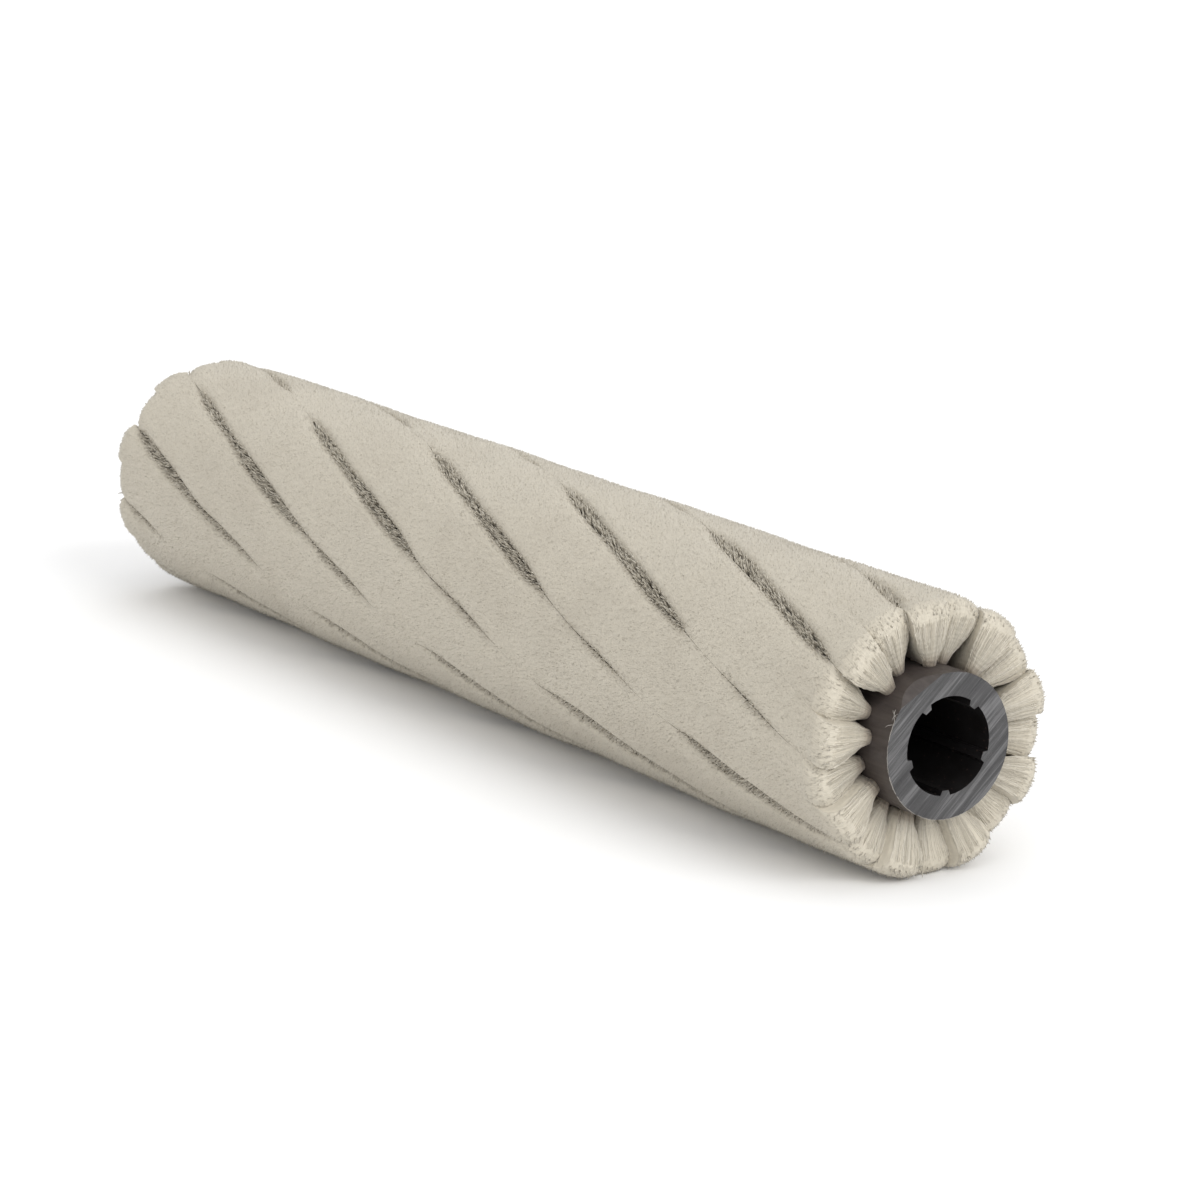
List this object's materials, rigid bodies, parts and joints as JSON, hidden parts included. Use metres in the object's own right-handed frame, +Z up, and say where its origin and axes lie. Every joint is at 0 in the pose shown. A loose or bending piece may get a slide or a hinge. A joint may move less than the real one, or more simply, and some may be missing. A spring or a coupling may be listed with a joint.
{
  "type": "floor scrubber roller brush",
  "caption": "Cylindrical scrubbing brush: a plastic tube with a keyed bore, covered in helical rows of cream nylon tufts that leave bare tube ends.",
  "frame": {"origin": "on the brush axis at mid-length", "axes": "+X along the axis towards the chipped tube end, +Z up away from the flat that the bristles lie on"},
  "size_m": [0.57, 0.1066, 0.1055],
  "materials": {
    "tube": "dark grey plastic, sawn across at the ends",
    "bristle": "cream nylon bristle, fine and dense",
    "wire": "drawn wire"
  },
  "bodies": {
    "root": {"core_tube": "tube", "tuft_row_01": "bristle", "tuft_row_02": "bristle", "tuft_row_03": "bristle", "tuft_row_04": "bristle", "tuft_row_05": "bristle", "tuft_row_06": "bristle", "tuft_row_07": "bristle", "tuft_row_08": "bristle", "tuft_row_09": "bristle", "tuft_row_10": "bristle", "tuft_row_11": "bristle", "tuft_row_12": "bristle", "tuft_row_13": "bristle", "tuft_row_14": "bristle", "tuft_row_15": "bristle", "tuft_row_16": "bristle", "tuft_row_17": "bristle", "tuft_row_18": "bristle", "tuft_anchors": "wire"}
  },
  "joints": []
}
